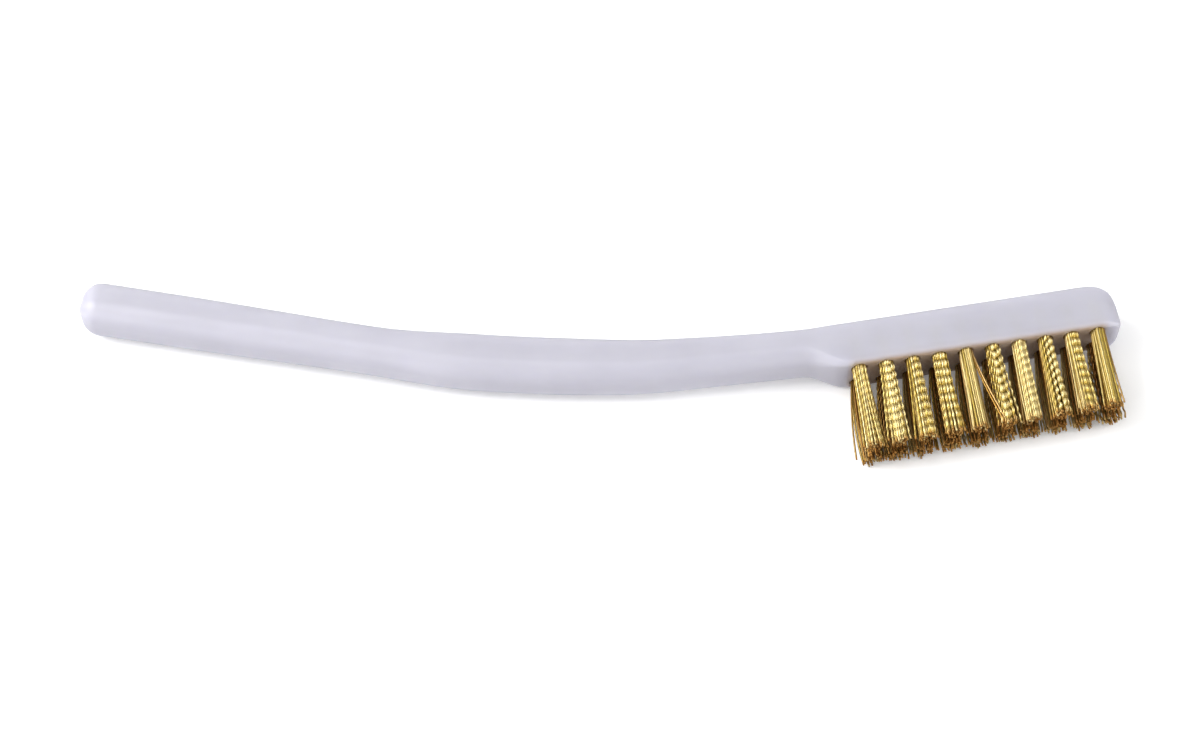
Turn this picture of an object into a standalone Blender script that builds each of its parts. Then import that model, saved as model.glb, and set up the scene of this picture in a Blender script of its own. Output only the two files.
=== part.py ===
"""Club groove brush: a small brass wire brush for cleaning the grooves of a golf club.

The body is one plastic moulding, shaped like a toothbrush: a straight head, a slim neck and a
gently arched handle. Its head has two rows of blind holes. Each hole holds a tuft of brass wire,
folded double over a flat metal anchor at the bottom of the hole.

The brush lies on its side. +X runs from the end of the handle to the tip of the head, the wires
point to -Y, and +Z is the width of the brush, with z = 0 on the flat side that it lies on.
A station is a distance along the spine, the line inside the moulding, counted from the head's tip.
"""

import math
from collections import namedtuple

import bmesh
import bpy
from mathutils import Vector

MM = 0.001

# Overall size
LENGTH = 175.0 * MM
WIDTH = 8.4 * MM
MID_WIDTH = WIDTH / 2

# The moulding's cross-section along the spine: a rounded rectangle. It reaches back behind the
# spine and front towards the wires. Between two stations every size eases from one to the next.
Section = namedtuple("Section", "station back front width back_radius front_radius")
HEAD_BACK = 3.6 * MM
HEAD_FRONT = 5.4 * MM
HEAD_LENGTH = 46.6 * MM
SECTIONS = (
    Section(0.0, HEAD_BACK, HEAD_FRONT, WIDTH, 2.8 * MM, 0.9 * MM),
    Section(HEAD_LENGTH, HEAD_BACK, HEAD_FRONT, WIDTH, 2.8 * MM, 0.9 * MM),
    Section(53.5 * MM, 3.45 * MM, 3.45 * MM, 8.1 * MM, 2.8 * MM, 2.8 * MM),
    Section(95.0 * MM, 4.4 * MM, 4.4 * MM, WIDTH, 3.2 * MM, 3.2 * MM),
    Section(107.0 * MM, 4.4 * MM, 4.4 * MM, WIDTH, 3.2 * MM, 3.2 * MM),
    Section(126.0 * MM, 3.75 * MM, 3.75 * MM, 8.0 * MM, 3.2 * MM, 3.2 * MM),
    Section(160.0 * MM, 4.0 * MM, 4.0 * MM, WIDTH, 3.2 * MM, 3.2 * MM),
    Section(LENGTH, 4.0 * MM, 4.0 * MM, WIDTH, 3.2 * MM, 3.2 * MM),
)

# The spine's direction at stations along it, in degrees above +X as seen from +Z. Between two
# stations it turns evenly, so each stretch is a straight line or an arc.
SPINE_DIRECTIONS = (
    (0.0, 10.0),
    (44.0 * MM, 10.0),
    (54.0 * MM, 6.6),
    (76.0 * MM, 5.0),
    (85.0 * MM, -0.6),
    (100.0 * MM, -2.8),
    (111.0 * MM, -5.5),
    (125.0 * MM, -10.0),
    (LENGTH, -10.0),
)
HEAD_TILT = math.radians(SPINE_DIRECTIONS[0][1])
SPINE_STEP = 0.5 * MM

# How the two ends of the moulding round over
EndRound = namedtuple("EndRound", "back front side")
TIP_ROUND = EndRound(back=5.5 * MM, front=2.0 * MM, side=3.6 * MM)
BUTT_ROUND = EndRound(back=3.4 * MM, front=3.4 * MM, side=3.4 * MM)
MIN_CORNER = 0.5 * MM
CORNER_STEPS = 4
END_STEPS = 5
FILLET_SPACING = 1.1 * MM
HANDLE_SPACING = 4.4 * MM

# Tufts and their holes
TUFTS_PER_ROW = 10
TUFT_PITCH = 4.5 * MM
FIRST_TUFT = 4.6 * MM
ROWS = {"left": -2.3 * MM, "right": 2.3 * MM}
HOLE_RADIUS = 1.3 * MM
HOLE_DEPTH = 5.0 * MM
CUT_PAST = 2.0 * MM
ROUND_STEPS = 12
ROOT_GAP = 0.2 * MM
ROOT_RADIUS = HOLE_RADIUS - ROOT_GAP
ROOT_CHAMFER = 0.3 * MM
FREE_LENGTH = 15.0 * MM
TIP_RADIUS = 1.8 * MM
TIP_CHAMFER = 0.25 * MM

# Anchors
ANCHOR_LENGTH = 2.1 * MM
ANCHOR_THICKNESS = 0.4 * MM
ANCHOR_HEIGHT = 1.6 * MM
ANCHOR_GAP = 0.2 * MM
ANCHOR_BASE = 1.1 * MM
ANCHOR_BEVEL = 0.08 * MM

MERGE_DISTANCE = 0.01 * MM
SHARP_ANGLE = math.radians(40.0)

# Finishes: colour, roughness, metallic
HANDLE_FINISH = ((0.74, 0.73, 0.78, 1.0), 0.38, 0.0)
WIRE_FINISH = ((0.74, 0.53, 0.20, 1.0), 0.34, 1.0)
ANCHOR_FINISH = ((0.62, 0.62, 0.60, 1.0), 0.40, 1.0)


def clear_scene():
    """Empty the scene, so that a second run starts fresh."""
    for existing in list(bpy.data.objects):
        bpy.data.objects.remove(existing, do_unlink=True)
    for existing in list(bpy.data.collections):
        bpy.data.collections.remove(existing)


def make_material(name, finish):
    """A Principled material with a plain colour, roughness and metallic value."""
    colour, roughness, metallic = finish
    material = bpy.data.materials.new(name)
    material.use_nodes = True
    shader = material.node_tree.nodes["Principled BSDF"]
    shader.inputs["Base Color"].default_value = colour
    shader.inputs["Roughness"].default_value = roughness
    shader.inputs["Metallic"].default_value = metallic
    return material


def add_object(name, mesh, collection, parent):
    """An object that shows the mesh, in one collection and under one parent."""
    new_object = bpy.data.objects.new(name, mesh)
    new_object.parent = parent
    collection.objects.link(new_object)
    return new_object


def spine_direction(station):
    """The spine's direction at a station, in radians above +X."""
    for (start, low), (end, high) in zip(SPINE_DIRECTIONS, SPINE_DIRECTIONS[1:]):
        if station <= end:
            share = (station - start) / (end - start)
            return math.radians(low + (high - low) * share)
    return math.radians(SPINE_DIRECTIONS[-1][1])


def spine_point(station):
    """The spine's place at a station, in short steps from the tip towards the handle."""
    steps = max(1, round(station / SPINE_STEP))
    step = station / steps
    point = Vector((0.0, 0.0, MID_WIDTH))
    for index in range(steps):
        direction = spine_direction((index + 0.5) * step)
        point -= Vector((math.cos(direction), math.sin(direction), 0.0)) * step
    return point


def back_normal(station):
    """The unit vector across the spine, towards the back of the brush."""
    direction = spine_direction(station)
    return Vector((-math.sin(direction), math.cos(direction), 0.0))


def ease(share):
    """A smooth step from 0 to 1."""
    return share * share * (3.0 - 2.0 * share)


def section_at(station):
    """The cross-section's sizes at a station, before the ends round over."""
    for start, end in zip(SECTIONS, SECTIONS[1:]):
        if station <= end.station:
            share = ease((station - start.station) / (end.station - start.station))
            return Section(*(low + (high - low) * share for low, high in zip(start, end)))
    return SECTIONS[-1]


def round_over(distance, radius):
    """How far a face has drawn in at a distance from the end that it rounds into."""
    left = radius - min(distance, radius)
    return radius - math.sqrt(radius * radius - left * left)


def end_insets(station):
    """How far the back, front and side faces have drawn in at a station."""
    tip = station
    butt = LENGTH - station
    return (
        round_over(tip, TIP_ROUND.back) + round_over(butt, BUTT_ROUND.back),
        round_over(tip, TIP_ROUND.front) + round_over(butt, BUTT_ROUND.front),
        round_over(tip, TIP_ROUND.side) + round_over(butt, BUTT_ROUND.side),
    )


def section_outline(station):
    """The points of the cross-section at a station, once round, one corner after another."""
    section = section_at(station)
    back_inset, front_inset, side_inset = end_insets(station)
    back = section.back - back_inset
    front = section.front - front_inset
    half = section.width / 2 - side_inset
    back_radius = max(MIN_CORNER, section.back_radius - max(back_inset, side_inset))
    front_radius = max(MIN_CORNER, section.front_radius - max(front_inset, side_inset))
    corners = (
        (-front + front_radius, half - front_radius, front_radius, 90.0),
        (-front + front_radius, -half + front_radius, front_radius, 180.0),
        (back - back_radius, -half + back_radius, back_radius, 270.0),
        (back - back_radius, half - back_radius, back_radius, 360.0),
    )
    centre = spine_point(station)
    normal = back_normal(station)
    points = []
    for across, up, radius, start in corners:
        for step in range(CORNER_STEPS + 1):
            angle = math.radians(start + 90.0 * step / CORNER_STEPS)
            offset = normal * (across + radius * math.cos(angle))
            rise = Vector((0.0, 0.0, up + radius * math.sin(angle)))
            points.append(centre + offset + rise)
    return points


def end_stations(round_length):
    """Distances from an end that share the arc of its rounding evenly."""
    quarter = math.pi / 2
    return [round_length * (1.0 - math.cos(quarter * k / END_STEPS)) for k in range(END_STEPS + 1)]


def even_stations(start, end, spacing):
    """Evenly spaced stations after start, up to and including end."""
    count = max(1, round((end - start) / spacing))
    return [start + (end - start) * (k + 1) / count for k in range(count)]


def ring_stations():
    """The stations of all cross-sections, from the tip to the handle's end."""
    tip = end_stations(max(TIP_ROUND))
    butt = [LENGTH - distance for distance in reversed(end_stations(max(BUTT_ROUND)))]
    neck = SECTIONS[2].station
    stations = list(tip)
    stations += [HEAD_LENGTH]
    stations += even_stations(HEAD_LENGTH, neck, FILLET_SPACING)
    stations += even_stations(neck, butt[0], HANDLE_SPACING)
    stations += butt[1:]
    return stations


def handle_mesh():
    """The moulding without its holes, lofted through all cross-sections."""
    shape = bmesh.new()
    rings = []
    for station in ring_stations():
        rings.append([shape.verts.new(point) for point in section_outline(station)])
    count = len(rings[0])
    for ring, following in zip(rings, rings[1:]):
        for k in range(count):
            after = (k + 1) % count
            shape.faces.new((ring[k], ring[after], following[after], following[k]))
    shape.faces.new(rings[0])
    shape.faces.new(list(reversed(rings[-1])))
    bmesh.ops.recalc_face_normals(shape, faces=shape.faces)
    mesh = bpy.data.meshes.new("handle")
    shape.to_mesh(mesh)
    shape.free()
    return mesh


def tuft_rotation():
    """Turns an upright shape's +Z to the way the wires point, square to the head's face."""
    return (math.pi / 2, 0.0, HEAD_TILT)


def face_point(number, row_offset):
    """The middle of a tuft's hole, on the head's face. Number 0 is next to the tip."""
    station = FIRST_TUFT + number * TUFT_PITCH
    point = spine_point(station) - back_normal(station) * HEAD_FRONT
    return point + Vector((0.0, 0.0, row_offset))


def hole_bottom(number, row_offset):
    """The middle of the bottom of a tuft's hole."""
    return face_point(number, row_offset) + back_normal(0.0) * HOLE_DEPTH


def hole_cutter_mesh():
    """One upright cylinder, its bottom at z = 0, that cuts one tuft hole."""
    shape = bmesh.new()
    depth = HOLE_DEPTH + CUT_PAST
    bmesh.ops.create_cone(
        shape,
        cap_ends=True,
        segments=ROUND_STEPS,
        radius1=HOLE_RADIUS,
        radius2=HOLE_RADIUS,
        depth=depth,
    )
    bmesh.ops.translate(shape, verts=shape.verts, vec=(0.0, 0.0, depth / 2))
    mesh = bpy.data.meshes.new("hole_cutter")
    shape.to_mesh(mesh)
    shape.free()
    return mesh


def evaluated_mesh(source, name):
    """The object's mesh with its modifiers applied."""
    bpy.context.view_layer.update()
    graph = bpy.context.evaluated_depsgraph_get()
    mesh = bpy.data.meshes.new_from_object(source.evaluated_get(graph), depsgraph=graph)
    mesh.name = name
    return mesh


def turned_mesh(name, profile, collection):
    """A solid of revolution about Z, from (radius, height) points that run top to bottom."""
    outline = bpy.data.meshes.new(name + "_profile")
    points = [(radius, 0.0, height) for radius, height in profile]
    edges = [(k, k + 1) for k in range(len(points) - 1)]
    outline.from_pydata(points, edges, [])
    blank = add_object(name + "_blank", outline, collection, None)
    screw = blank.modifiers.new("turn", "SCREW")
    screw.axis = "Z"
    screw.angle = 2.0 * math.pi
    screw.steps = ROUND_STEPS
    screw.render_steps = ROUND_STEPS
    screw.use_merge_vertices = True
    screw.merge_threshold = MERGE_DISTANCE
    mesh = evaluated_mesh(blank, name)
    bpy.data.objects.remove(blank, do_unlink=True)
    return mesh


def box_mesh(name, size, middle_height, bevel):
    """An upright box about the Z axis, with its edges bevelled where bevel isn't 0."""
    shape = bmesh.new()
    bmesh.ops.create_cube(shape, size=1.0)
    bmesh.ops.scale(shape, verts=shape.verts, vec=size)
    bmesh.ops.translate(shape, verts=shape.verts, vec=(0.0, 0.0, middle_height))
    if bevel:
        bmesh.ops.bevel(shape, geom=shape.edges, offset=bevel, segments=1, affect="EDGES")
    mesh = bpy.data.meshes.new(name)
    shape.to_mesh(mesh)
    shape.free()
    return mesh


def mark_smooth(mesh):
    """Smooth shading that keeps the sharp edges."""
    mesh.shade_smooth()
    mesh.set_sharp_from_angle(angle=SHARP_ANGLE)


def cut(target, cutter):
    """Take the cutter's shape away from the target."""
    boolean = target.modifiers.new("cut_" + cutter.name, "BOOLEAN")
    boolean.operation = "DIFFERENCE"
    boolean.solver = "EXACT"
    boolean.object = cutter


def hide_cutter(cutter):
    """Show a cutter as wires only, and leave it out of renders."""
    cutter.hide_render = True
    cutter.display_type = "WIRE"


def tuft_mesh(cutters):
    """One upright tuft, its root at z = 0, with the window that its anchor passes through."""
    length = HOLE_DEPTH - ROOT_GAP + FREE_LENGTH
    mouth = HOLE_DEPTH - ROOT_GAP
    profile = (
        (0.0, length),
        (TIP_RADIUS - TIP_CHAMFER, length),
        (TIP_RADIUS, length - TIP_CHAMFER),
        (ROOT_RADIUS, mouth),
        (ROOT_RADIUS, ROOT_CHAMFER),
        (ROOT_RADIUS - ROOT_CHAMFER, 0.0),
        (0.0, 0.0),
    )
    whole = add_object("tuft_whole", turned_mesh("tuft_whole", profile, cutters), cutters, None)
    window_size = (
        2 * ROOT_RADIUS + CUT_PAST,
        ANCHOR_THICKNESS + 2 * ANCHOR_GAP,
        ANCHOR_HEIGHT + 2 * ANCHOR_GAP,
    )
    window_middle = ANCHOR_BASE + ANCHOR_HEIGHT / 2
    window_mesh = box_mesh("anchor_window", window_size, window_middle, 0.0)
    window = add_object("anchor_window", window_mesh, cutters, None)
    cut(whole, window)
    mesh = evaluated_mesh(whole, "wire_tuft")
    bpy.data.objects.remove(whole, do_unlink=True)
    bpy.data.objects.remove(window, do_unlink=True)
    mark_smooth(mesh)
    return mesh


def anchor_mesh():
    """One upright anchor plate, placed above a tuft's root at z = 0."""
    size = (ANCHOR_LENGTH, ANCHOR_THICKNESS, ANCHOR_HEIGHT)
    return box_mesh("anchor", size, ANCHOR_BASE + ANCHOR_HEIGHT / 2, ANCHOR_BEVEL)


def make_handle(parts, cutters, frame):
    """The plastic moulding, with a blind hole cut for every tuft."""
    handle = add_object("handle", handle_mesh(), parts, frame)
    handle.data.materials.append(make_material("handle_plastic", HANDLE_FINISH))
    cutter_mesh = hole_cutter_mesh()
    for side, row_offset in ROWS.items():
        for number in range(TUFTS_PER_ROW):
            name = f"hole_cutter_{side}_{number + 1:02d}"
            cutter = add_object(name, cutter_mesh, cutters, frame)
            cutter.location = hole_bottom(number, row_offset)
            cutter.rotation_euler = tuft_rotation()
            hide_cutter(cutter)
            cut(handle, cutter)
    mark_smooth(handle.data)


def make_tufts_and_anchors(parts, cutters, frame):
    """Every tuft in its hole, with its anchor through the fold. Number 1 is next to the tip."""
    tuft = tuft_mesh(cutters)
    tuft.materials.append(make_material("wire_brass", WIRE_FINISH))
    anchor = anchor_mesh()
    anchor.materials.append(make_material("anchor_steel", ANCHOR_FINISH))
    lift = back_normal(0.0) * -ROOT_GAP
    for side, row_offset in ROWS.items():
        for number in range(TUFTS_PER_ROW):
            root = hole_bottom(number, row_offset) + lift
            for kind, mesh in (("wire_tuft", tuft), ("anchor", anchor)):
                piece = add_object(f"{kind}_{side}_{number + 1:02d}", mesh, parts, frame)
                piece.location = root
                piece.rotation_euler = tuft_rotation()


def centre_on_origin(parts, frame):
    """Move the whole brush so that its box is centred on the origin in X and Y."""
    bpy.context.view_layer.update()
    graph = bpy.context.evaluated_depsgraph_get()
    corners = []
    for part in parts.objects:
        if part.type == "MESH":
            solid = part.evaluated_get(graph)
            corners += [solid.matrix_world @ vertex.co for vertex in solid.data.vertices]
    for axis in (0, 1):
        low = min(corner[axis] for corner in corners)
        high = max(corner[axis] for corner in corners)
        frame.location[axis] = -(low + high) / 2


def main():
    """Build the whole brush."""
    clear_scene()
    parts = bpy.data.collections.new("club_groove_brush")
    cutters = bpy.data.collections.new("cutters")
    bpy.context.scene.collection.children.link(parts)
    bpy.context.scene.collection.children.link(cutters)
    frame = add_object("brush_frame", None, parts, None)
    make_handle(parts, cutters, frame)
    make_tufts_and_anchors(parts, cutters, frame)
    centre_on_origin(parts, frame)


main()
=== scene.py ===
"""Looks for the club groove brush: a milky plastic moulding with crimped brass wire tufts.

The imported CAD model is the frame. A finer moulding and tufts of single wires replace its handle
and its tufts, in the same places. The anchors keep their CAD meshes. The brush lies on its side on
a pale floor, with its wires towards -Y and the head's tip towards +X.

A station is a distance along the spine, the line inside the moulding, from the head's tip.
Inside a tuft, along runs with the head towards its tip, across is +Z, and height runs with the
wires from the bottom of the tuft. The left row is the one next to the floor.
"""

import math
from collections import namedtuple

import bmesh
import bpy
import numpy as np
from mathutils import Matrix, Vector


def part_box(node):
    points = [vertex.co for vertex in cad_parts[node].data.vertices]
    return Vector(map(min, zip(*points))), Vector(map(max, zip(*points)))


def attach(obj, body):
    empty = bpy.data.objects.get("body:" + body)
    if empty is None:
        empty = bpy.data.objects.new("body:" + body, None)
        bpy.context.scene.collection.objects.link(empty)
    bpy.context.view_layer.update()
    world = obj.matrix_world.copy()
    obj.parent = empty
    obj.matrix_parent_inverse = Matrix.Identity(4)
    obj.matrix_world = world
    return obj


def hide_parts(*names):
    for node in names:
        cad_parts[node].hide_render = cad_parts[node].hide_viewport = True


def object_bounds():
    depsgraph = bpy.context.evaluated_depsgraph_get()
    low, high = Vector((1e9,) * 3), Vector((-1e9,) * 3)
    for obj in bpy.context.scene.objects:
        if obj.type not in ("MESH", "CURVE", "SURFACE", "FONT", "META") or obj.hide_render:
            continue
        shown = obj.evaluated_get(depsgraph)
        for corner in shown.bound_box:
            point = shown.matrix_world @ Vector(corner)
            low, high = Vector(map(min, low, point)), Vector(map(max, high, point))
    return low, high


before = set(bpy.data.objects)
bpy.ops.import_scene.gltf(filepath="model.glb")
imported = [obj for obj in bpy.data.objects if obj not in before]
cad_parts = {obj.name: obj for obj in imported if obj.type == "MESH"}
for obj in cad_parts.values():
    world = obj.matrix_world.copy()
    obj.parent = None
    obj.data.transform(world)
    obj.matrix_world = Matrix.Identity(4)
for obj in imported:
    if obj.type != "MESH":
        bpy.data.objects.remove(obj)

MM = 0.001
CAD_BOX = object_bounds()

# ---------------------------------------------------------------- the moulding, as in the CAD
LENGTH = 175.0 * MM
WIDTH = 8.4 * MM
MID_WIDTH = WIDTH / 2
Section = namedtuple("Section", "station back front width back_radius front_radius")
HEAD_BACK = 3.6 * MM
HEAD_FRONT = 5.4 * MM
HEAD_LENGTH = 46.6 * MM
SECTIONS = (
    Section(0.0, HEAD_BACK, HEAD_FRONT, WIDTH, 2.8 * MM, 0.9 * MM),
    Section(HEAD_LENGTH, HEAD_BACK, HEAD_FRONT, WIDTH, 2.8 * MM, 0.9 * MM),
    Section(53.5 * MM, 3.45 * MM, 3.45 * MM, 8.1 * MM, 2.8 * MM, 2.8 * MM),
    Section(95.0 * MM, 4.4 * MM, 4.4 * MM, WIDTH, 3.2 * MM, 3.2 * MM),
    Section(107.0 * MM, 4.4 * MM, 4.4 * MM, WIDTH, 3.2 * MM, 3.2 * MM),
    Section(126.0 * MM, 3.75 * MM, 3.75 * MM, 8.0 * MM, 3.2 * MM, 3.2 * MM),
    Section(160.0 * MM, 4.0 * MM, 4.0 * MM, WIDTH, 3.2 * MM, 3.2 * MM),
    Section(LENGTH, 4.0 * MM, 4.0 * MM, WIDTH, 3.2 * MM, 3.2 * MM),
)
SPINE_DIRECTIONS = (
    (0.0, 10.0),
    (44.0 * MM, 10.0),
    (54.0 * MM, 6.6),
    (76.0 * MM, 5.0),
    (85.0 * MM, -0.6),
    (100.0 * MM, -2.8),
    (111.0 * MM, -5.5),
    (125.0 * MM, -10.0),
    (LENGTH, -10.0),
)
SPINE_STEP = 0.5 * MM
EndRound = namedtuple("EndRound", "back front side")
TIP_ROUND = EndRound(back=5.5 * MM, front=2.0 * MM, side=3.6 * MM)
BUTT_ROUND = EndRound(back=3.4 * MM, front=3.4 * MM, side=3.4 * MM)
MIN_CORNER = 0.5 * MM
CORNER_STEPS = 10
END_STEPS = 12
RING_SPACING = 1.2 * MM
SHARP_ANGLE = math.radians(40.0)

# ---------------------------------------------------------------- holes, tufts and anchors
TUFTS_PER_ROW = 10
TUFT_PITCH = 4.5 * MM
FIRST_TUFT = 4.6 * MM
ROWS = {"left": -2.3 * MM, "right": 2.3 * MM}
HOLE_RADIUS = 1.3 * MM
HOLE_DEPTH = 5.0 * MM
HOLE_SIDES = 36
HOLE_LIP = 0.06 * MM
CUT_PAST = 2.0 * MM
ROOT_GAP = 0.2 * MM
MOUTH = HOLE_DEPTH - ROOT_GAP
FREE_LENGTH = 15.0 * MM
ANCHOR_BASE = 1.1 * MM
ANCHOR_TOP = 2.7 * MM
ANCHOR_MIDDLE = (ANCHOR_BASE + ANCHOR_TOP) / 2

# Wires. Each is folded double under the anchor, so it gives two legs. The bend is a little flatter
# than a half circle.
WIRE_RADIUS = 0.155 * MM
WIRE_SIDES = 8
WIRES_PER_TUFT = 22
LEGS = 2 * WIRES_PER_TUFT
LEG_STEPS = 64
BEND_STEPS = 6
BEND_SQUASH = 0.85
# The heights of a leg's first points, from the anchor's base to just under the mouth
INSIDE_HEIGHTS = (ANCHOR_BASE, 1.9 * MM, ANCHOR_TOP, 3.3 * MM, 3.9 * MM, 4.4 * MM)
GOLDEN_ANGLE = math.pi * (3.0 - math.sqrt(5.0))

# Where the legs run: within a radius at the mouth, and clear of the plate beside the anchor, within
# a share of that radius
MOUTH_RADIUS = 1.13 * MM
ANCHOR_CLEAR = 0.37 * MM
BESIDE_ANCHOR = 0.85

# The rows: their radius at the tips, how much a tuft bulges on the way there (1 is an even
# widening), how far painted shade browns them, and how far they lean towards the head's tip, in
# degrees
TIP_RADIUS = {"left": 1.7 * MM, "right": 1.32 * MM}
BULGE = {"left": 4.8, "right": 1.2}
ROW_SHADE = {"left": 0.42, "right": 0.0}
ROW_LEAN = {"left": -3.4, "right": -3.2}

# The left row takes the styles below in another order: every third one, from this one on
LEFT_STYLE_STEP = 3
LEFT_STYLE_START = 4

# How uneven the wires are: their places in the mouth, their lengths, which also drop towards the
# head's tip, and their slow wander
SLOT_SPREAD = 0.03 * MM
UNEVEN_CUT = (-0.50 * MM, 0.20 * MM)
TRIM_DROP = 0.6 * MM
WANDER = 0.15 * MM

# How far under the mouth the crimp starts, how soon it is full, and how much the way it swings
# differs between the wires, in radians
CRIMP_START = 0.6 * MM
CRIMP_RISE = 1.6 * MM
TURN_SPREAD = 0.06

# A fork parts the legs at a share of the radius, and the larger part moves the other way by a share
# of the fork. A calm part keeps a share of its waves. They fade in round its edge, from a lead
# before it, in shares of the radius.
FORK_PLACE = 0.25
FORK_BACK = 0.4
CALM_WAVES = 0.15
CALM_LEAD = 0.3
CALM_FADE = 0.5

# How each tuft's wires are crimped. Crimp is the size of the waves and wave their length. Turn is
# the way they swing, in degrees from the head's direction. Slant and vee delay the wave across the
# tuft, so that the waves line up as a rope's lay or as a plait. Mirror makes the two halves swing
# against each other. Loose is how much the single wires stray from the pattern, in turns. Fade is
# how far the waves die out towards the tips. Calm is the share of the tuft, from the handle's side,
# with next to no waves. Fork parts the tips, and lean tilts the whole tuft, in degrees.
Style = namedtuple("Style", "crimp wave turn slant vee mirror loose fade calm fork lean")
STYLES = (
    Style(0.015 * MM, 1.5 * MM, 30.0, 0.0, 0.0, False, 0.20, 0.0, 0.0, 0.1 * MM, -0.4),
    Style(0.16 * MM, 1.5 * MM, 80.0, 0.0, 0.0, False, 0.03, 0.7, 0.4, 0.2 * MM, 0.6),
    Style(0.19 * MM, 1.45 * MM, 75.0, 0.8, 0.0, False, 0.02, 0.0, 0.25, 0.2 * MM, 0.2),
    Style(0.06 * MM, 1.4 * MM, 60.0, 0.2, 0.0, False, 0.08, 0.2, 0.2, 0.1 * MM, -0.5),
    Style(0.19 * MM, 1.6 * MM, 70.0, 0.0, 0.9, False, 0.03, 0.3, 0.0, 0.1 * MM, 0.8),
    Style(0.015 * MM, 1.5 * MM, 0.0, 0.0, 0.0, False, 0.20, 0.2, 0.0, 0.2 * MM, -0.4),
    Style(0.16 * MM, 1.6 * MM, 70.0, 0.0, 0.3, True, 0.03, 0.6, 0.0, 0.2 * MM, 0.6),
    Style(0.14 * MM, 1.5 * MM, 60.0, 0.3, 0.0, True, 0.04, 0.3, 0.4, 0.3 * MM, -0.3),
    Style(0.16 * MM, 1.5 * MM, 60.0, 0.0, 0.6, False, 0.04, 0.7, 0.0, 0.2 * MM, -0.9),
    Style(0.05 * MM, 1.3 * MM, 60.0, 0.3, 0.0, False, 0.10, 0.0, 0.0, 0.3 * MM, 0.4),
)

# Two legs of a tuft stand off a little. In two tufts, long strays take the place of those towards
# the head's tip: leg, along, across. Two cross to the next tuft, and one stands clear of the head's
# end. Curve is how late a stray bends away, and dull how brown the long ones are.
LONG_STRAYS = {
    ("right", 5): ((LEGS - 1, 3.4 * MM, 0.5 * MM), (LEGS - 2, 2.9 * MM, 0.4 * MM)),
    ("right", 0): ((LEGS - 1, 0.1 * MM, 0.2 * MM),),
}
STRAYS_PER_TUFT = 2
STRAY_ALONG = (0.2 * MM, 0.8 * MM)
STRAY_ACROSS = 0.2 * MM
STRAY_CURVE = 1.25
STRAY_DULL = 0.68
TUFT_SEED = 41

# Painted light and shade on a wire: how far painted shade darkens it towards the other row, in
# the tuft's middle and in the hole, the swing that gets the full painted highlight on a crest, and
# how many steps from its end painted shade browns the cut
SHADE_SLOPE = 0.75
SHADE_MIDDLE = 0.35
SHADE_CORE = 0.4
HOLE_SHADE_START = 0.5 * MM
HOLE_SHADE_DEPTH = 1.4 * MM
LIT_SWING = 0.2 * MM
CUT_STEPS = 4.0

# ---------------------------------------------------------------- colours, in linear light
PLASTIC_LOW = (0.445, 0.438, 0.495, 1.0)
PLASTIC_HIGH = (0.485, 0.478, 0.535, 1.0)
PLASTIC_DEPTH = 2.5 * MM
BRASS_LOW = (0.48, 0.34, 0.065, 1.0)
BRASS_HIGH = (0.85, 0.71, 0.34, 1.0)
# Painted shade in the troughs of the crimp
BRASS_TROUGH_SHADE = (0.32, 0.21, 0.045, 1.0)
# Painted shade for wires inside a tuft, in the hole and in the row next to the floor
BRASS_PAINTED_SHADE = (0.30, 0.125, 0.02, 1.0)
# Painted shade at the wires' cut ends
BRASS_CUT_SHADE = (0.44, 0.22, 0.055, 1.0)
# Painted shade and brass-coloured reflected light among the tufts on the head's front face
PAINTED_BOUNCE = (0.37, 0.26, 0.17, 1.0)
STEEL_LOW = (0.42, 0.42, 0.40, 1.0)
STEEL_HIGH = (0.62, 0.62, 0.60, 1.0)
FLOOR_LOW = (0.93, 0.93, 0.93, 1.0)
FLOOR_HIGH = (0.95, 0.95, 0.95, 1.0)
WHITE = (1.0, 1.0, 1.0, 1.0)
BRASS_METALLIC = 0.8
PLASTIC_IOR = 1.49
PLASTIC_SOAK = (1.0, 1.0, 1.15)

# Noise, in cells to a metre, and the middle part of its range that a surface uses
CLOUD_SCALE = 90.0
FLOW_SCALE = 260.0
SKIN_SCALE = 5200.0
TARNISH_SCALE = 900.0
SCRATCH_SCALE = 9000.0
ROLLING_SCALE = 8000.0
PAPER_SCALE = 400.0
NOISE_RANGE = (0.3, 0.7)

# Roughness, from the smoothest to the dullest places, and how much duller a cut end is
PLASTIC_ROUGH = (0.36, 0.46)
BRASS_ROUGH = (0.30, 0.42)
CUT_ROUGH = 0.2
STEEL_ROUGH = (0.34, 0.48)
FLOOR_ROUGH = 0.9
FLOOR_SHINE = 0.2

# The painted shade and brass-coloured reflected light on the head's front face: how deep it
# reaches round the edge, where it fades towards the two sides (from the middle of the width) and
# beyond the first and last tufts
BOUNCE_DEPTH = (1.8 * MM, 0.2 * MM)
BOUNCE_SIDES = (3.7 * MM, 4.3 * MM)
BOUNCE_ENDS = (0.6 * MM, 2.0 * MM)
BOUNCE_STRENGTH = (0.7, 0.95)

# ---------------------------------------------------------------- camera and light
CAMERA_ELEVATION = math.radians(60.0)
CAMERA_LENS = 90.0
SENSOR = 36.0
VIEW_WIDTH = 199.0 * MM
FLOOR_SIZE = 6.0
FLOOR_GAP = 0.03 * MM
# The room's brightness against the height of the direction: -1 is straight down, 1 straight up
ROOM_LIGHT = ((-1.0, 0.15), (-0.12, 0.15), (-0.05, 0.93), (0.15, 0.93), (0.42, 0.25), (1.0, 0.25))
# The floor glows a little, and more from the near distance to the far one
FLOOR_GLOW = (0.13, 0.90)
GLOW_REACH = (0.12, 0.45)
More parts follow.
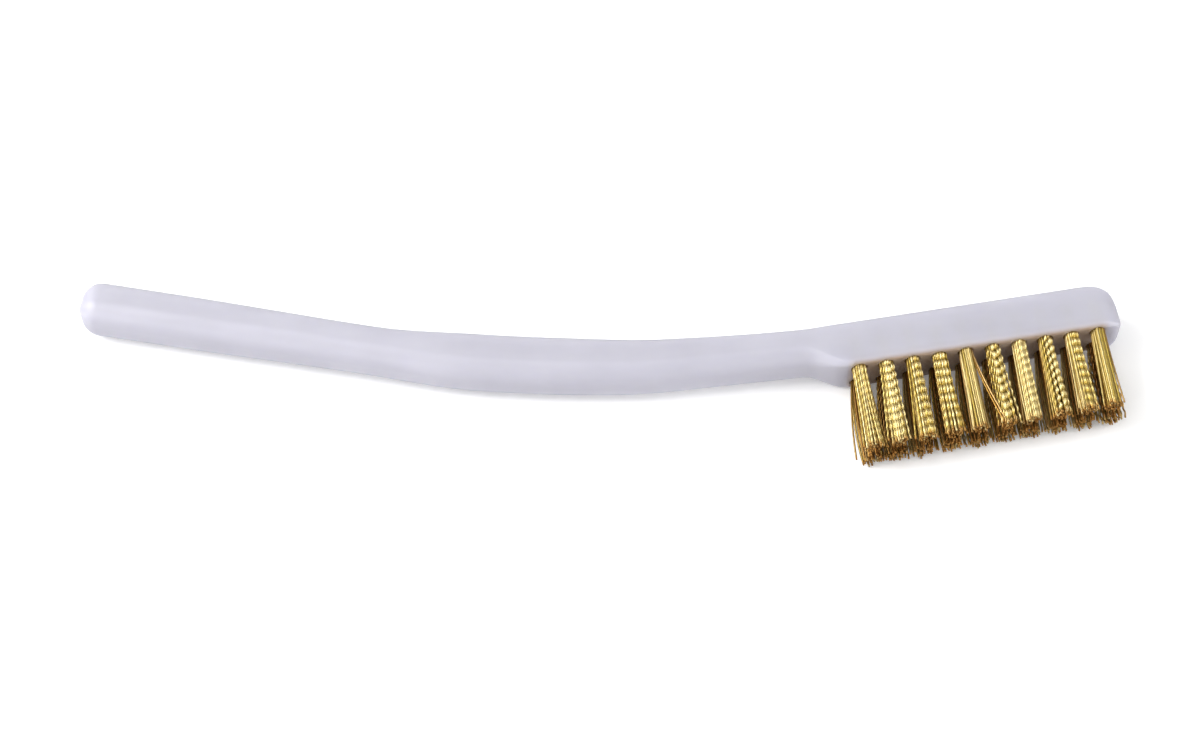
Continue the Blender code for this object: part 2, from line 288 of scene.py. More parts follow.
# Name, place, width and power
SOFTBOXES = (
    ("softbox_left", (-0.60, 0.10, 0.50), 0.45, 6.2),
    ("softbox_right", (0.60, 0.05, 0.34), 0.40, 2.1),
    ("softbox_top", (-0.20, 0.05, 0.75), 0.55, 1.6),
    ("softbox_back", (-0.10, 0.65, 0.30), 0.45, 0.3),
    ("softbox_front_left", (-0.50, -0.60, 0.45), 0.50, 2.2),
    ("softbox_front_right", (0.45, -0.70, 0.35), 0.50, 1.5),
)


def spine_direction(station):
    """The spine's direction at a station, in radians above +X."""
    for (start, low), (end, high) in zip(SPINE_DIRECTIONS, SPINE_DIRECTIONS[1:]):
        if station <= end:
            share = (station - start) / (end - start)
            return math.radians(low + (high - low) * share)
    return math.radians(SPINE_DIRECTIONS[-1][1])


def spine_point(station):
    """The spine's place at a station, in short steps from the tip, before the brush is centred."""
    steps = max(1, round(station / SPINE_STEP))
    step = station / steps
    point = Vector((0.0, 0.0, MID_WIDTH))
    for index in range(steps):
        direction = spine_direction((index + 0.5) * step)
        point -= Vector((math.cos(direction), math.sin(direction), 0.0)) * step
    return point


def back_normal(station):
    """The unit vector across the spine, towards the back of the brush."""
    direction = spine_direction(station)
    return Vector((-math.sin(direction), math.cos(direction), 0.0))


def tuft_root(number, row_offset):
    """The bottom of a tuft, before the brush is centred. Number 0 is next to the tip."""
    station = FIRST_TUFT + number * TUFT_PITCH
    depth = HEAD_FRONT - MOUTH
    return spine_point(station) - back_normal(station) * depth + Vector((0.0, 0.0, row_offset))


def centre_shift():
    """How far the CAD moved the brush to centre it, read from the place of one anchor."""
    low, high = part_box("anchor_right_01")
    expected = tuft_root(0, ROWS["right"]) - back_normal(0.0) * ANCHOR_MIDDLE
    return (low + high) / 2 - expected


SHIFT = centre_shift()


# ---------------------------------------------------------------- small helpers
def new_object(name, mesh):
    """An object that shows the mesh, in the scene's own collection."""
    made = bpy.data.objects.new(name, mesh)
    bpy.context.scene.collection.objects.link(made)
    return made


def tuft_axes():
    """The directions along the head towards its tip, across it, and out of its front face."""
    out = -back_normal(0.0)
    return Vector((-out.y, out.x, 0.0)), Vector((0.0, 0.0, 1.0)), out


def smooth_step(share):
    """A smooth step from 0 to 1, with the input held between them."""
    share = np.clip(share, 0.0, 1.0)
    return share * share * (3.0 - 2.0 * share)


class Nodes:
    """A material's node tree, with short calls that add a node and join it up."""

    def __init__(self, name):
        self.material = bpy.data.materials.new(name)
        self.material.use_nodes = True
        self.tree = self.material.node_tree
        self.shader = self.tree.nodes["Principled BSDF"]

    def put(self, socket, value):
        """Join an output to an input socket, or set the socket's own value."""
        if isinstance(value, bpy.types.NodeSocket):
            self.tree.links.new(value, socket)
        else:
            socket.default_value = value

    def add(self, kind, settings=None, **inputs):
        """A new node: settings are its own properties, inputs go to the sockets of that name."""
        node = self.tree.nodes.new(kind)
        for key, value in (settings or {}).items():
            setattr(node, key, value)
        for key, value in inputs.items():
            self.put(node.inputs[key.replace("_", " ")], value)
        return node

    def place(self, stretch=(1.0, 1.0, 1.0)):
        """The surface's place in the brush's own frame, in metres, stretched along the axes."""
        place = self.add("ShaderNodeTexCoord").outputs["Object"]
        mapping = self.add("ShaderNodeMapping", Scale=stretch)
        self.put(mapping.inputs["Vector"], place)
        return mapping.outputs["Vector"]

    def noise(self, place, scale, detail=2.0, roughness=0.5):
        """Noise with about scale cells to a metre."""
        node = self.add("ShaderNodeTexNoise", Scale=scale, Detail=detail, Roughness=roughness)
        self.put(node.inputs["Vector"], place)
        return node.outputs["Fac"]

    def attribute(self, name):
        """A number that is stored on the mesh."""
        return self.add("ShaderNodeAttribute", {"attribute_name": name}).outputs["Fac"]

    def ramp(self, factor, low, high, start=0.0, end=1.0):
        """Maps a factor between low and high to a value between start and end."""
        node = self.add("ShaderNodeMapRange")
        limits = {"From Min": low, "From Max": high, "To Min": start, "To Max": end}
        for key, value in limits.items():
            node.inputs[key].default_value = value
        self.put(node.inputs["Value"], factor)
        return node.outputs["Result"]

    def mix(self, factor, first, second):
        """A colour between two colours. The sockets go by number, as their names are shared."""
        node = self.add("ShaderNodeMix", {"data_type": "RGBA"})
        self.put(node.inputs[0], factor)
        self.put(node.inputs[6], first)
        self.put(node.inputs[7], second)
        return node.outputs[2]

    def math(self, operation, first, second):
        """One sum of two numbers."""
        node = self.add("ShaderNodeMath", {"operation": operation})
        self.put(node.inputs[0], first)
        self.put(node.inputs[1], second)
        return node.outputs[0]

    def bump(self, height, strength, distance):
        """Tilts the surface by a height map."""
        node = self.add("ShaderNodeBump", Strength=strength, Distance=distance)
        self.put(node.inputs["Height"], height)
        self.put(self.shader.inputs["Normal"], node.outputs["Normal"])


# ---------------------------------------------------------------- materials
def painted_bounce_mask(nodes, clouds):
    """Where painted shade and painted brass-coloured reflected light brown the head's front face:
    among the tufts, 0 to 1.
    """
    offset = nodes.add("ShaderNodeVectorMath", {"operation": "SUBTRACT"})
    nodes.put(offset.inputs[0], nodes.add("ShaderNodeTexCoord").outputs["Object"])
    offset.inputs[1].default_value = tuft_root(0, 0.0) + SHIFT
    reach = []
    for axis in tuft_axes():
        dot = nodes.add("ShaderNodeVectorMath", {"operation": "DOT_PRODUCT"})
        nodes.put(dot.inputs[0], offset.outputs["Vector"])
        dot.inputs[1].default_value = axis
        reach.append(dot.outputs["Value"])
    along, across, height = reach
    near, far = BOUNCE_ENDS
    last_tuft = -(TUFTS_PER_ROW - 1) * TUFT_PITCH
    fades = (
        nodes.ramp(nodes.math("ABSOLUTE", across, 0.0), *BOUNCE_SIDES, 1.0, 0.0),
        nodes.ramp(along, near, far, 1.0, 0.0),
        nodes.ramp(along, last_tuft - far, last_tuft - near),
        nodes.ramp(clouds, *NOISE_RANGE, *BOUNCE_STRENGTH),
    )
    mask = nodes.ramp(height, *(MOUTH - depth for depth in BOUNCE_DEPTH))
    for fade in fades:
        mask = nodes.math("MULTIPLY", mask, fade)
    return mask


def plastic_material():
    """Milky polypropylene: a satin moulded skin over a cloudy body that light soaks into."""
    nodes = Nodes("milky_plastic")
    place = nodes.place()
    clouds = nodes.noise(place, CLOUD_SCALE, detail=3.0, roughness=0.55)
    flow = nodes.noise(nodes.place((0.25, 1.0, 1.0)), FLOW_SCALE)
    skin = nodes.noise(place, SKIN_SCALE, roughness=0.6)
    shade = nodes.math("MULTIPLY", nodes.math("ADD", clouds, flow), 0.5)
    colour = nodes.mix(nodes.ramp(shade, 0.35, 0.65), PLASTIC_LOW, PLASTIC_HIGH)
    # Painted shade and brass-coloured reflected light among the tufts
    colour = nodes.mix(painted_bounce_mask(nodes, clouds), colour, PAINTED_BOUNCE)
    nodes.put(nodes.shader.inputs["Base Color"], colour)
    rough = nodes.ramp(clouds, *NOISE_RANGE, *PLASTIC_ROUGH)
    nodes.put(nodes.shader.inputs["Roughness"], rough)
    nodes.shader.inputs["Subsurface Weight"].default_value = 1.0
    nodes.shader.inputs["Subsurface Radius"].default_value = PLASTIC_SOAK
    nodes.shader.inputs["Subsurface Scale"].default_value = PLASTIC_DEPTH
    nodes.shader.inputs["IOR"].default_value = PLASTIC_IOR
    nodes.bump(skin, strength=0.10, distance=0.03 * MM)
    return nodes.material


def brass_material():
    """Drawn brass wire, with painted shade that browns it inside the tuft, in the hole and at the
    ends, and painted light and shade on the crimp's crests and troughs.
    """
    nodes = Nodes("brass_wire")
    tone = nodes.attribute("wire_tone")
    shade_amount = nodes.attribute("wire_painted_shade")
    end = nodes.attribute("wire_end")
    swing_light = nodes.attribute("wire_swing_light")
    place = nodes.place()
    tarnish = nodes.noise(place, TARNISH_SCALE, detail=3.0, roughness=0.6)
    scratches = nodes.noise(place, SCRATCH_SCALE, roughness=0.6)

    # Each wire has its tone, with a painted highlight where it swings out of the tuft and painted
    # shade where it dips in
    wire = nodes.math("MULTIPLY", tone, 0.6)
    blotches = nodes.math("MULTIPLY", tarnish, 0.4)
    blend = nodes.math("ADD", nodes.math("ADD", wire, blotches), nodes.math("MULTIPLY", swing_light, 0.5))
    colour = nodes.mix(nodes.ramp(blend, 0.2, 0.8), BRASS_LOW, BRASS_HIGH)
    colour = nodes.mix(nodes.ramp(swing_light, -0.9, -0.1, 0.9, 0.0), colour, BRASS_TROUGH_SHADE)
    # Painted shade inside the tuft, in the hole and over the row next to the floor
    colour = nodes.mix(nodes.ramp(shade_amount, 0.2, 0.85, 0.0, 0.95), colour, BRASS_PAINTED_SHADE)

    # Painted shade browns the cut ends, apart from those of the brightest wires
    end_shade = nodes.math("MULTIPLY", end, nodes.ramp(tone, 0.55, 0.85, 1.0, 0.2))
    colour = nodes.mix(end_shade, colour, BRASS_CUT_SHADE)
    nodes.put(nodes.shader.inputs["Base Color"], colour)
    skin = nodes.ramp(tarnish, 0.25, 0.75, *BRASS_ROUGH)
    rough = nodes.math("ADD", skin, nodes.math("MULTIPLY", end_shade, CUT_ROUGH))
    nodes.put(nodes.shader.inputs["Roughness"], rough)
    nodes.shader.inputs["Metallic"].default_value = BRASS_METALLIC
    nodes.bump(scratches, strength=0.06, distance=0.01 * MM)
    return nodes.material


def steel_material():
    """Flat rolled steel strip: fine rolling lines and a dull zinc cast."""
    nodes = Nodes("anchor_strip")
    place = nodes.place((0.1, 1.0, 1.0))
    lines = nodes.noise(place, ROLLING_SCALE, detail=3.0, roughness=0.6)
    colour = nodes.mix(nodes.ramp(lines, *NOISE_RANGE), STEEL_LOW, STEEL_HIGH)
    nodes.put(nodes.shader.inputs["Base Color"], colour)
    rough = nodes.ramp(lines, *NOISE_RANGE, *STEEL_ROUGH)
    nodes.put(nodes.shader.inputs["Roughness"], rough)
    nodes.shader.inputs["Metallic"].default_value = 1.0
    nodes.bump(lines, strength=0.15, distance=0.02 * MM)
    return nodes.material


def floor_material():
    """A matt white sweep with the faintest paper grain, which glows more in the distance."""
    nodes = Nodes("white_floor")
    grain = nodes.noise(nodes.place(), PAPER_SCALE, detail=3.0, roughness=0.6)
    colour = nodes.mix(grain, FLOOR_LOW, FLOOR_HIGH)
    nodes.put(nodes.shader.inputs["Base Color"], colour)
    nodes.shader.inputs["Roughness"].default_value = FLOOR_ROUGH
    nodes.shader.inputs["Specular IOR Level"].default_value = FLOOR_SHINE
    nodes.shader.inputs["Emission Color"].default_value = WHITE
    reach = nodes.add("ShaderNodeVectorMath", {"operation": "LENGTH"})
    nodes.put(reach.inputs[0], nodes.place())
    glow = nodes.ramp(reach.outputs["Value"], *GLOW_REACH, *FLOOR_GLOW)
    nodes.put(nodes.shader.inputs["Emission Strength"], glow)
    return nodes.material


# ---------------------------------------------------------------- the moulding
def section_at(station):
    """The cross-section's sizes at a station, before the ends round over."""
    for start, end in zip(SECTIONS, SECTIONS[1:]):
        if station <= end.station:
            share = smooth_step((station - start.station) / (end.station - start.station))
            return Section(*(low + (high - low) * share for low, high in zip(start, end)))
    return SECTIONS[-1]


def round_over(distance, radius):
    """How far a face has drawn in at a distance from the end that it rounds into."""
    left = radius - min(distance, radius)
    return radius - math.sqrt(radius * radius - left * left)


def end_insets(station):
    """How far the back, front and side faces have drawn in at a station."""
    tip = station
    butt = LENGTH - station
    return (
        round_over(tip, TIP_ROUND.back) + round_over(butt, BUTT_ROUND.back),
        round_over(tip, TIP_ROUND.front) + round_over(butt, BUTT_ROUND.front),
        round_over(tip, TIP_ROUND.side) + round_over(butt, BUTT_ROUND.side),
    )


def section_outline(station):
    """The points of the cross-section at a station, once round, one corner after another."""
    section = section_at(station)
    back_inset, front_inset, side_inset = end_insets(station)
    back = section.back - back_inset
    front = section.front - front_inset
    half = section.width / 2 - side_inset
    back_radius = max(MIN_CORNER, section.back_radius - max(back_inset, side_inset))
    front_radius = max(MIN_CORNER, section.front_radius - max(front_inset, side_inset))
    corners = (
        (-front + front_radius, half - front_radius, front_radius, 90.0),
        (-front + front_radius, -half + front_radius, front_radius, 180.0),
        (back - back_radius, -half + back_radius, back_radius, 270.0),
        (back - back_radius, half - back_radius, back_radius, 360.0),
    )
    centre = spine_point(station) + SHIFT
    normal = back_normal(station)
    points = []
    for across, up, radius, start in corners:
        for step in range(CORNER_STEPS + 1):
            angle = math.radians(start + 90.0 * step / CORNER_STEPS)
            offset = normal * (across + radius * math.cos(angle))
            rise = Vector((0.0, 0.0, up + radius * math.sin(angle)))
            points.append(centre + offset + rise)
    return points


def end_stations(round_length):
    """Distances from an end that share the arc of its rounding evenly."""
    quarter = math.pi / 2
    return [round_length * (1.0 - math.cos(quarter * k / END_STEPS)) for k in range(END_STEPS + 1)]


def ring_stations():
    """The stations of all cross-sections, from the tip to the handle's end."""
    tip = end_stations(max(TIP_ROUND))
    butt = [LENGTH - distance for distance in reversed(end_stations(max(BUTT_ROUND)))]
    count = round((butt[0] - tip[-1]) / RING_SPACING)
    between = [tip[-1] + (butt[0] - tip[-1]) * (k + 1) / count for k in range(count)]
    return tip + between + butt[1:]


def loft(shape, rings):
    """Joins closed rings of vertices into one closed skin with flat ends."""
    count = len(rings[0])
    for ring, following in zip(rings, rings[1:]):
        for k in range(count):
            after = (k + 1) % count
            shape.faces.new((ring[k], ring[after], following[after], following[k]))
    shape.faces.new(rings[0])
    shape.faces.new(list(reversed(rings[-1])))


def finished_mesh(name, shape):
    """The shape as a mesh, with its faces turned outwards."""
    bmesh.ops.recalc_face_normals(shape, faces=shape.faces)
    mesh = bpy.data.meshes.new(name)
    shape.to_mesh(mesh)
    shape.free()
    return mesh


def moulding_mesh():
    """The moulding without its holes, lofted through all cross-sections."""
    shape = bmesh.new()
    rings = []
    for station in ring_stations():
        rings.append([shape.verts.new(point) for point in section_outline(station)])
    loft(shape, rings)
    return finished_mesh("handle_moulding", shape)


def hole_cutter():
    """One object that holds all the round hole cutters, each with a small lip at the mouth."""
    profile = (
        (HOLE_RADIUS, 0.0),
        (HOLE_RADIUS, HOLE_DEPTH - 2 * HOLE_LIP),
        (HOLE_RADIUS + HOLE_LIP, HOLE_DEPTH),
        (HOLE_RADIUS + HOLE_LIP, HOLE_DEPTH + CUT_PAST),
    )
    along, across, out = tuft_axes()
    shape = bmesh.new()
    for row_offset in ROWS.values():
        for number in range(TUFTS_PER_ROW):
            bottom = tuft_root(number, row_offset) + SHIFT - out * ROOT_GAP
            rings = []
            for radius, height in profile:
                ring = []
                for k in range(HOLE_SIDES):
                    angle = 2.0 * math.pi * (k + 0.5) / HOLE_SIDES
                    swing = along * math.cos(angle) + across * math.sin(angle)
                    ring.append(shape.verts.new(bottom + out * height + swing * radius))
                rings.append(ring)
            loft(shape, rings)
    return new_object("hole_cutter", finished_mesh("hole_cutter", shape))


def make_moulding():
    """The plastic moulding with its twenty blind holes."""
    blank = new_object("moulding_blank", moulding_mesh())
    cutter = hole_cutter()
    boolean = blank.modifiers.new("holes", "BOOLEAN")
    boolean.operation = "DIFFERENCE"
    boolean.solver = "EXACT"
    boolean.object = cutter
    bpy.context.view_layer.update()
    graph = bpy.context.evaluated_depsgraph_get()
    mesh = bpy.data.meshes.new_from_object(blank.evaluated_get(graph), depsgraph=graph)
    mesh.name = "handle_moulding"
    mesh.shade_smooth()
    mesh.set_sharp_from_angle(angle=SHARP_ANGLE)
    bpy.data.objects.remove(blank, do_unlink=True)
    bpy.data.objects.remove(cutter, do_unlink=True)
    moulding = new_object("handle_moulding", mesh)
    weighted = moulding.modifiers.new("even_shading", "WEIGHTED_NORMAL")
    weighted.keep_sharp = True
    moulding.data.materials.append(plastic_material())
    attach(moulding, "root")
    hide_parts("handle")


# ---------------------------------------------------------------- the wires
def disc_slots(count, radius, turn):
    """Evenly spread places in a disc, as seeds sit in a sunflower, turned by an angle."""
    number = np.arange(count)
    reach = radius * np.sqrt((number + 0.5) / count)
    angle = number * GOLDEN_ANGLE + turn
    return np.stack([reach * np.cos(angle), reach * np.sin(angle)], axis=1)


def paired_slots(chance):
    """Where the legs leave the hole: two halves of a disc, where leg k and leg k + half pair up."""
    slots = disc_slots(LEGS, MOUTH_RADIUS, chance.uniform(0.0, 2.0 * math.pi))
    slots += chance.normal(0.0, SLOT_SPREAD, slots.shape)
    reach = np.hypot(slots[:, 0], slots[:, 1])
    slots *= np.minimum(1.0, MOUTH_RADIUS / reach)[:, None]
    order = np.argsort(slots[:, 1])
    below = order[:WIRES_PER_TUFT]
    above = order[WIRES_PER_TUFT:]
    below = below[np.argsort(slots[below, 0])]
    above = above[np.argsort(slots[above, 0])]
    return slots[np.concatenate([below, above])]


def squeezed_slots(slots):
    """The same places beside the anchor, where each half is pressed away from the plate."""
    side = np.where(np.arange(LEGS) < WIRES_PER_TUFT, -1.0, 1.0)
    edge = BESIDE_ANCHOR * MOUTH_RADIUS
    along = np.clip(slots[:, 0], -edge, edge)
    room = np.sqrt(MOUTH_RADIUS ** 2 - along ** 2)
    share = np.clip(np.abs(slots[:, 1]) / room, 0.0, 1.0)
    across = side * (ANCHOR_CLEAR + share * np.maximum(room - ANCHOR_CLEAR, 0.0))
    return np.stack([along, across], axis=1)


def leg_points(side, number, style, slots, chance):
    """Every leg of a tuft from beside the anchor to the tip, as legs x steps x 3 local points.

    Also how far each step swings out of the tuft (above 0) or into it (below 0), which sets the
    painted highlight and painted shade of the crimp.
    """
    squeezed = squeezed_slots(slots)
    trim = TRIM_DROP * (1.0 - number / (TUFTS_PER_ROW - 1))
    lengths = FREE_LENGTH - trim + chance.uniform(*UNEVEN_CUT, LEGS)
    inside = np.repeat(np.array(INSIDE_HEIGHTS)[None, :], LEGS, axis=0)
    free = MOUTH + lengths[:, None] * np.linspace(0.0, 1.0, LEG_STEPS)[None, :]
    height = np.concatenate([inside, free], axis=1)

    # Out of the squeeze beside the anchor, then straight through the mouth, then flaring out
    open_share = smooth_step((height - ANCHOR_TOP) / (MOUTH - ANCHOR_TOP))[:, :, None]
    base = squeezed[:, None, :] * (1.0 - open_share) + slots[:, None, :] * open_share
    share = np.clip((height - MOUTH) / FREE_LENGTH, 0.0, 1.1)
    spread = TIP_RADIUS[side] / MOUTH_RADIUS - 1.0
    flare = 1.0 + spread * (BULGE[side] * share + (1.0 - BULGE[side]) * share ** 2)
    place = base * flare[:, :, None]

    # A slow wander of each wire, and the tilt of the whole tuft
    drift = chance.normal(0.0, WANDER, (LEGS, 2))
    forked = slots[:, 0] > FORK_PLACE * MOUTH_RADIUS
    drift[:, 0] += style.fork * np.where(forked, 1.0, -FORK_BACK)
    place += drift[:, None, :] * (share ** 2)[:, :, None]
    tilt = math.tan(math.radians(style.lean + ROW_LEAN[side]))
    place[:, :, 0] += np.maximum(height - MOUTH, 0.0) * tilt

    # The crimp
    reach = np.maximum(np.abs(slots[:, 0]), 1e-9) / MOUTH_RADIUS
    delay = style.slant * slots[:, 0] / MOUTH_RADIUS + style.vee * reach
    delay = delay + style.loose * chance.normal(0.0, 1.0, LEGS)
    phase = 2.0 * math.pi * (height / style.wave + delay[:, None])
    size = style.crimp * smooth_step((height - MOUTH + CRIMP_START) / CRIMP_RISE)
    past_calm = slots[:, 0] / MOUTH_RADIUS + 1.0 - 2.0 * style.calm
    waves = CALM_WAVES + (1.0 - CALM_WAVES) * smooth_step((past_calm + CALM_LEAD) / CALM_FADE)
    size = size * (1.0 - style.fade * share) * waves[:, None]
    turn = math.radians(style.turn) + chance.normal(0.0, TURN_SPREAD, LEGS)
    swing = np.stack([np.cos(turn), np.sin(turn)], axis=1)
    if style.mirror:
        swing[:, 0] *= np.sign(slots[:, 0])
    swung = swing[:, None, :] * (size * np.sin(phase))[:, :, None]
    radial = slots / np.hypot(slots[:, 0], slots[:, 1])[:, None]
    swing_light = np.sum(swung * radial[:, None, :], axis=2) / LIT_SWING
    return np.concatenate([place + swung, height[:, :, None]], axis=2), swing_light


def add_strays(points, strays):
    """Bends single legs out of the tuft. A stray is a leg's number and how far its tip moves."""
    share = np.clip((points[0, :, 2] - MOUTH) / FREE_LENGTH, 0.0, 1.0)
    for leg, along, across in strays:
        points[leg, :, 0] += along * share ** STRAY_CURVE
        points[leg, :, 1] += across * share ** STRAY_CURVE
    return points


def folded_wires(legs):
    """Joins the legs in pairs by a bend under the anchor, as wires x steps x 3 local points."""
    first = legs[:WIRES_PER_TUFT]
    second = legs[WIRES_PER_TUFT:]
    start = first[:, 0, :]
    end = second[:, 0, :]
    angles = np.linspace(0.0, math.pi, BEND_STEPS + 1)[1:-1]
    middle = (start + end) / 2
    half = (end - start) / 2
    bend = middle[:, None, :] - half[:, None, :] * np.cos(angles)[None, :, None]
    bend[:, :, 2] -= BEND_SQUASH * half[:, None, 1] * np.sin(angles)[None, :]
    return np.concatenate([first[:, ::-1, :], bend, second], axis=1)


def tube_parts(paths, radius, sides):
    """Vertices and faces of one closed tube along each path, for paths x steps x 3 points."""
    wires, steps, _ = paths.shape
    tangent = np.gradient(paths, axis=1)
    tangent /= np.linalg.norm(tangent, axis=2, keepdims=True)
    reference = np.array([1.0, 0.0, 0.0])
    first = reference - tangent * (tangent @ reference)[:, :, None]
    first /= np.linalg.norm(first, axis=2, keepdims=True)
    second = np.cross(tangent, first)
    angle = 2.0 * math.pi * np.arange(sides) / sides
    ring = first[:, :, None, :] * np.cos(angle)[None, None, :, None]
    ring = ring + second[:, :, None, :] * np.sin(angle)[None, None, :, None]
    vertices = (paths[:, :, None, :] + radius * ring).reshape(-1, 3)

    side = np.arange(sides)
    after = (side + 1) % sides
    step = np.arange(steps - 1)[:, None] * sides
    quads = np.stack([step + side, step + after, step + sides + after, step + sides + side], axis=2)
    start = np.arange(wires)[:, None, None] * steps * sides
    quads = (quads.reshape(1, -1, 4) + start).reshape(-1, 4)
    bottom = side[::-1][None, :] + start[:, :, 0]
    top = side[None, :] + (steps - 1) * sides + start[:, :, 0]
    return vertices, quads, np.concatenate([bottom, top])


def tube_mesh(name, vertices, quads, caps, attributes):
    """A mesh from the tubes' vertices and faces. The cut ends stay flat, the rest is smooth."""
    mesh = bpy.data.meshes.new(name)
    sides = caps.shape[1]
    corners = np.concatenate([quads.ravel(), caps.ravel()])
    sizes = np.concatenate([np.full(len(quads), 4), np.full(len(caps), sides)])
    starts = np.concatenate([[0], np.cumsum(sizes)[:-1]])
    mesh.vertices.add(len(vertices))
    mesh.vertices.foreach_set("co", vertices.astype(np.float32).ravel())
    mesh.loops.add(len(corners))
    mesh.loops.foreach_set("vertex_index", corners.astype(np.int32))
    mesh.polygons.add(len(sizes))
    mesh.polygons.foreach_set("loop_start", starts.astype(np.int32))
    mesh.polygons.foreach_set("use_smooth", sizes == 4)
    for key, values in attributes.items():
        layer = mesh.attributes.new(key, "FLOAT", "POINT")
        layer.data.foreach_set("value", values.astype(np.float32))
    mesh.update(calc_edges=True)
    mesh.validate()
    return mesh


def wire_steps(values):
    """Lays the legs' values out along the folded wires, with 0 round the bend."""
    first = values[:WIRES_PER_TUFT, ::-1]
    second = values[WIRES_PER_TUFT:]
    bend = np.zeros((WIRES_PER_TUFT, BEND_STEPS - 1))
    return np.concatenate([first, bend, second], axis=1)


def stray_legs(side, number, chance):
    """Which legs of a tuft stand off from it, and how far their tips move along and across."""
    edge = [WIRES_PER_TUFT - 1, LEGS - 1, 0, WIRES_PER_TUFT]
    strays = []
    for leg in chance.permutation(edge)[:STRAYS_PER_TUFT]:
        way = 1.0 if leg % WIRES_PER_TUFT else -1.0
        along = way * chance.uniform(*STRAY_ALONG)
        strays.append((leg, along, chance.uniform(-STRAY_ACROSS, STRAY_ACROSS)))
    if (side, number) in LONG_STRAYS:
        strays = [stray for stray in strays if stray[1] < 0.0] + list(LONG_STRAYS[side, number])
    return strays


def painted_shade_depths(side, number, slots, paths):
    """How much painted shade darkens the wires at each step: 0 outside, 1 in the hole or between
    the rows.
    """
    inward = -np.sign(ROWS[side])
    depth = SHADE_SLOPE * inward * slots[:, 1] / MOUTH_RADIUS + SHADE_MIDDLE
    core = 1.0 - np.minimum(1.0, np.hypot(slots[:, 0], slots[:, 1]) / MOUTH_RADIUS)
    depth = np.maximum(np.clip(depth, 0.0, 1.0), SHADE_CORE * core)
    half = paths.shape[1] // 2
    along = np.repeat(depth[:WIRES_PER_TUFT, None], paths.shape[1], axis=1)
    along[:, half:] = depth[WIRES_PER_TUFT:, None]
    in_hole = smooth_step((MOUTH + HOLE_SHADE_START - paths[:, :, 2]) / HOLE_SHADE_DEPTH)
    shade_amount = np.maximum(np.maximum(along, in_hole), ROW_SHADE[side])
    for leg, _, _ in LONG_STRAYS.get((side, number), ()):
        wire = shade_amount[leg % WIRES_PER_TUFT]
        wire[half:] = np.maximum(wire[half:], STRAY_DULL)
    return shade_amount


def make_tuft(side, number, material):
    """One tuft of folded wires, in the place of its CAD solid. Number 0 is next to the tip."""
    chance = np.random.default_rng([TUFT_SEED, list(ROWS).index(side), number])
    style_number = number
    if side == "left":
        style_number = (number * LEFT_STYLE_STEP + LEFT_STYLE_START) % TUFTS_PER_ROW
    slots = paired_slots(chance)
    legs, swing_light = leg_points(side, number, STYLES[style_number], slots, chance)
    legs = add_strays(legs, stray_legs(side, number, chance))
    paths = folded_wires(legs)
    tone = chance.uniform(0.0, 1.0, WIRES_PER_TUFT)
    steps = np.arange(paths.shape[1])
    from_end = np.minimum(steps, steps[::-1])
    end = np.clip(1.0 - from_end / CUT_STEPS, 0.0, 1.0)
    by_step = {
        "wire_tone": np.repeat(tone[:, None], len(steps), axis=1),
        "wire_painted_shade": painted_shade_depths(side, number, slots, paths),
        "wire_swing_light": wire_steps(swing_light),
        "wire_end": np.repeat(end[None, :], WIRES_PER_TUFT, axis=0),
    }
    attributes = {key: np.repeat(values.ravel(), WIRE_SIDES) for key, values in by_step.items()}

    # Into the head, and no lower than the surface that the brush lies on
    vertices, quads, caps = tube_parts(paths, WIRE_RADIUS, WIRE_SIDES)
    root = np.array(tuft_root(number, ROWS[side]) + SHIFT)
    world = root + vertices @ np.array(tuft_axes())
    world[:, 2] = np.maximum(world[:, 2], 0.0)
    name = f"wire_tuft_{side}_{number + 1:02d}"
    mesh = tube_mesh(name, world, quads, caps, attributes)
    tuft = new_object(f"wires_{side}_{number + 1:02d}", mesh)
    tuft.data.materials.append(material)
    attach(tuft, "root")
    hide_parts(name)


# ---------------------------------------------------------------- the setting
def make_floor():
    """A wide pale floor just under the brush, kept out of its reflections."""
    shape = bmesh.new()
    bmesh.ops.create_grid(shape, x_segments=8, y_segments=8, size=FLOOR_SIZE / 2)
    mesh = bpy.data.meshes.new("floor")
    shape.to_mesh(mesh)
    shape.free()
    floor = new_object("floor", mesh)
    floor.location.z = -FLOOR_GAP
    floor.data.materials.append(floor_material())
    floor.visible_glossy = False


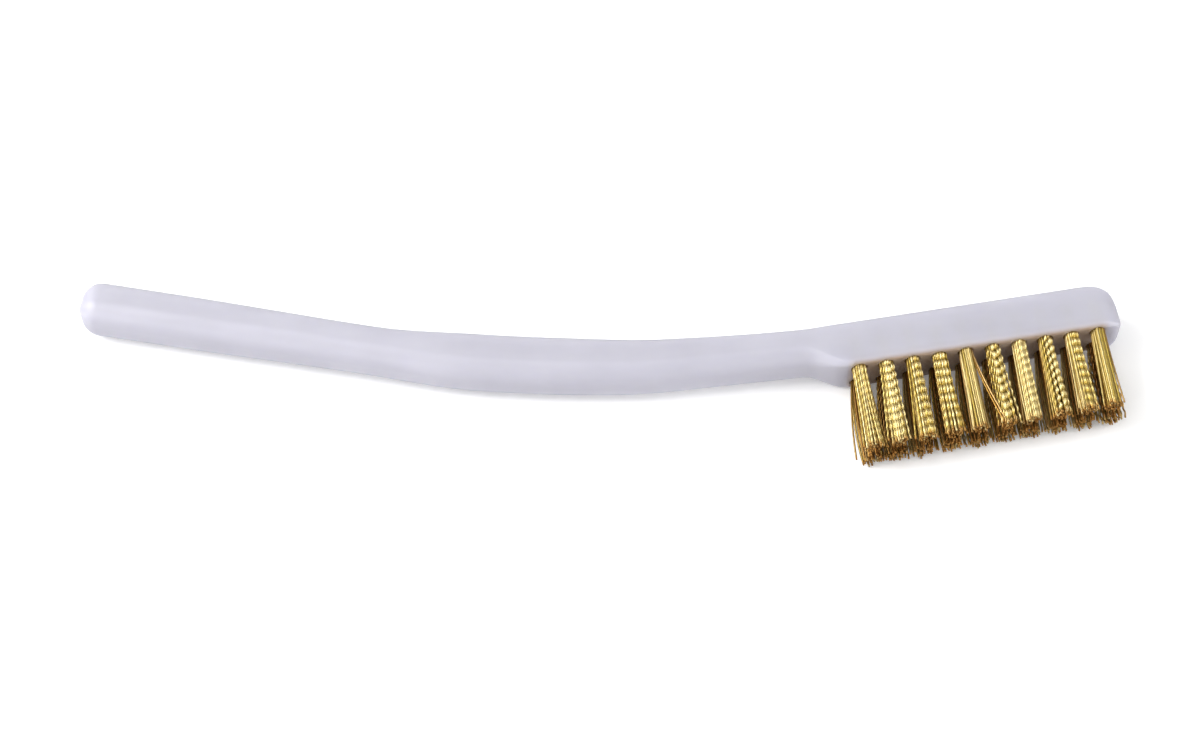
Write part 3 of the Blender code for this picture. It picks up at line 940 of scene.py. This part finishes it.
def add_softbox(name, place, size, power):
    """A square area light that faces the brush."""
    data = bpy.data.lights.new(name, "AREA")
    data.shape = "SQUARE"
    data.size = size
    data.energy = power
    light = bpy.data.objects.new(name, data)
    light.location = place
    light.rotation_mode = "QUATERNION"
    light.rotation_quaternion = (-Vector(place)).to_track_quat("-Z", "Y")
    bpy.context.scene.collection.objects.link(light)


def make_lights():
    """A room that is bright round the horizon and dim above and below, and large soft boxes."""
    world = bpy.data.worlds.new("pale_room")
    world.use_nodes = True
    tree = world.node_tree
    direction = tree.nodes.new("ShaderNodeTexCoord").outputs["Generated"]
    split = tree.nodes.new("ShaderNodeSeparateXYZ")
    tree.links.new(direction, split.inputs["Vector"])
    height = tree.nodes.new("ShaderNodeMapRange")
    height.inputs["From Min"].default_value = -1.0
    tree.links.new(split.outputs["Z"], height.inputs["Value"])
    ramp = tree.nodes.new("ShaderNodeValToRGB")
    stops = ramp.color_ramp.elements
    while len(stops) < len(ROOM_LIGHT):
        stops.new(0.5)
    for stop, (rise, level) in zip(stops, ROOM_LIGHT):
        stop.position = (rise + 1.0) / 2.0
        stop.color = (level, level, level, 1.0)
    tree.links.new(height.outputs["Result"], ramp.inputs["Fac"])
    tree.links.new(ramp.outputs["Color"], tree.nodes["Background"].inputs["Color"])
    bpy.context.scene.world = world
    for name, place, size, power in SOFTBOXES:
        add_softbox(name, place, size, power)
    bpy.context.scene.view_settings.view_transform = "Standard"


def make_camera():
    """The camera above the wires' side of the brush, with the whole brush in view."""
    data = bpy.data.cameras.new("camera")
    data.lens = CAMERA_LENS
    data.sensor_width = SENSOR
    camera = bpy.data.objects.new("camera", data)
    back = Vector((0.0, -math.cos(CAMERA_ELEVATION), math.sin(CAMERA_ELEVATION)))
    low, high = CAD_BOX
    camera.location = (low + high) / 2 + back * (VIEW_WIDTH * CAMERA_LENS / SENSOR)
    camera.rotation_mode = "QUATERNION"
    camera.rotation_quaternion = (-back).to_track_quat("-Z", "Y")
    bpy.context.scene.collection.objects.link(camera)
    bpy.context.scene.camera = camera


make_camera()
make_lights()
make_floor()
make_moulding()
brass = brass_material()
for row in ROWS:
    for index in range(TUFTS_PER_ROW):
        make_tuft(row, index, brass)
steel = steel_material()
for node_name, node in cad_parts.items():
    if node_name.startswith("anchor_"):
        node.material_slots[0].material = steel
